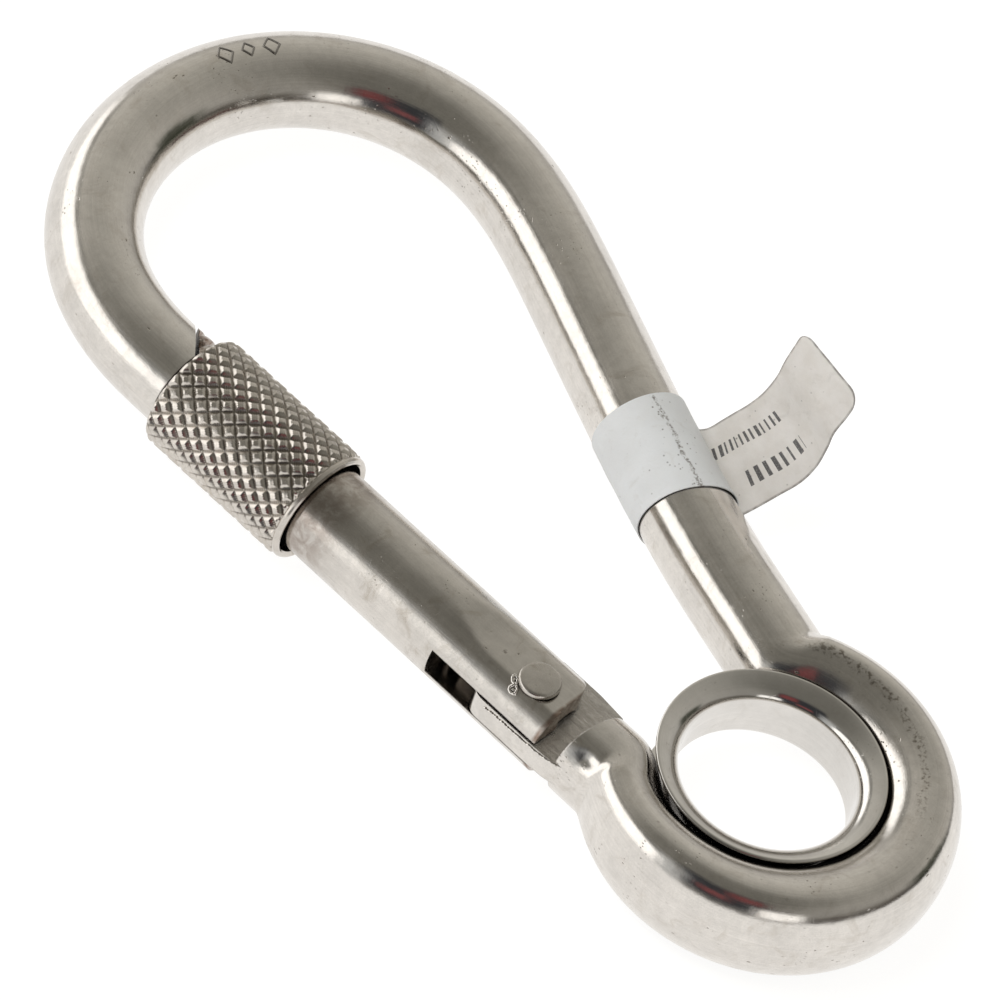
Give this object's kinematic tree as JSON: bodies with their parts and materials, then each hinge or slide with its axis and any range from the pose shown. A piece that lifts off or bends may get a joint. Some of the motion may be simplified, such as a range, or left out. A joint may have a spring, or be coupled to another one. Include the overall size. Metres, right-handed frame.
{
  "type": "screw-lock carbine hook",
  "caption": "Marine snap hook bent from round bar, with a spring gate, a knurled screw sleeve that locks it and a loose round thimble in its closed eye.",
  "frame": {"origin": "middle of the footprint, on the plane the hook rests on when it lies flat", "axes": "+Z along the thimble's bore, square to the plane of the hook; +X along the closed gate from the nose towards the eye; +Y from the gate towards the spine"},
  "size_m": [0.1454, 0.0726, 0.0254],
  "materials": {
    "steel_satin": "satin, tumbled",
    "steel_knurled": "diamond knurl",
    "steel_polished": "polished",
    "spring_wire": "drawn wire, dark",
    "tag_paper": "coated paper label"
  },
  "bodies": {
    "frame": {"frame": "steel_satin", "tag": "tag_paper"},
    "gate": {"gate": "steel_satin", "hinge_rivet": "steel_satin", "gate_spring": "spring_wire"},
    "plunger": {"spring_plunger": "spring_wire"},
    "sleeve": {"lock_sleeve": "steel_knurled"},
    "thimble": {"thimble": "steel_polished"}
  },
  "joints": [
    {"name": "gate_swing", "type": "hinge", "parent": "frame", "child": "gate", "pos_m": [0.02411, -0.02793, 0.00781], "axis": [0, 0, -1], "range_deg": [0, 35], "stiffness_Nm_per_rad": 0.03, "springref_deg": -34.38},
    {"name": "plunger_travel", "type": "slide", "parent": "gate", "child": "plunger", "axis": [-1, 0, 0], "range_m": [0, 0.00153], "deforming": ["gate_spring"]},
    {"name": "sleeve_travel", "type": "slide", "parent": "gate", "child": "sleeve", "axis": [-1, 0, 0], "range_m": [0, 0.007]},
    {"name": "thimble_spin", "type": "hinge", "parent": "frame", "child": "thimble", "pos_m": [0.0489, -0.01356, 0.00781], "axis": [0, 0, 1], "continuous": true}
  ],
  "couplings": [
    {"joint": "plunger_travel", "follows": "gate_swing", "m_per_rad": 0.0025}
  ]
}
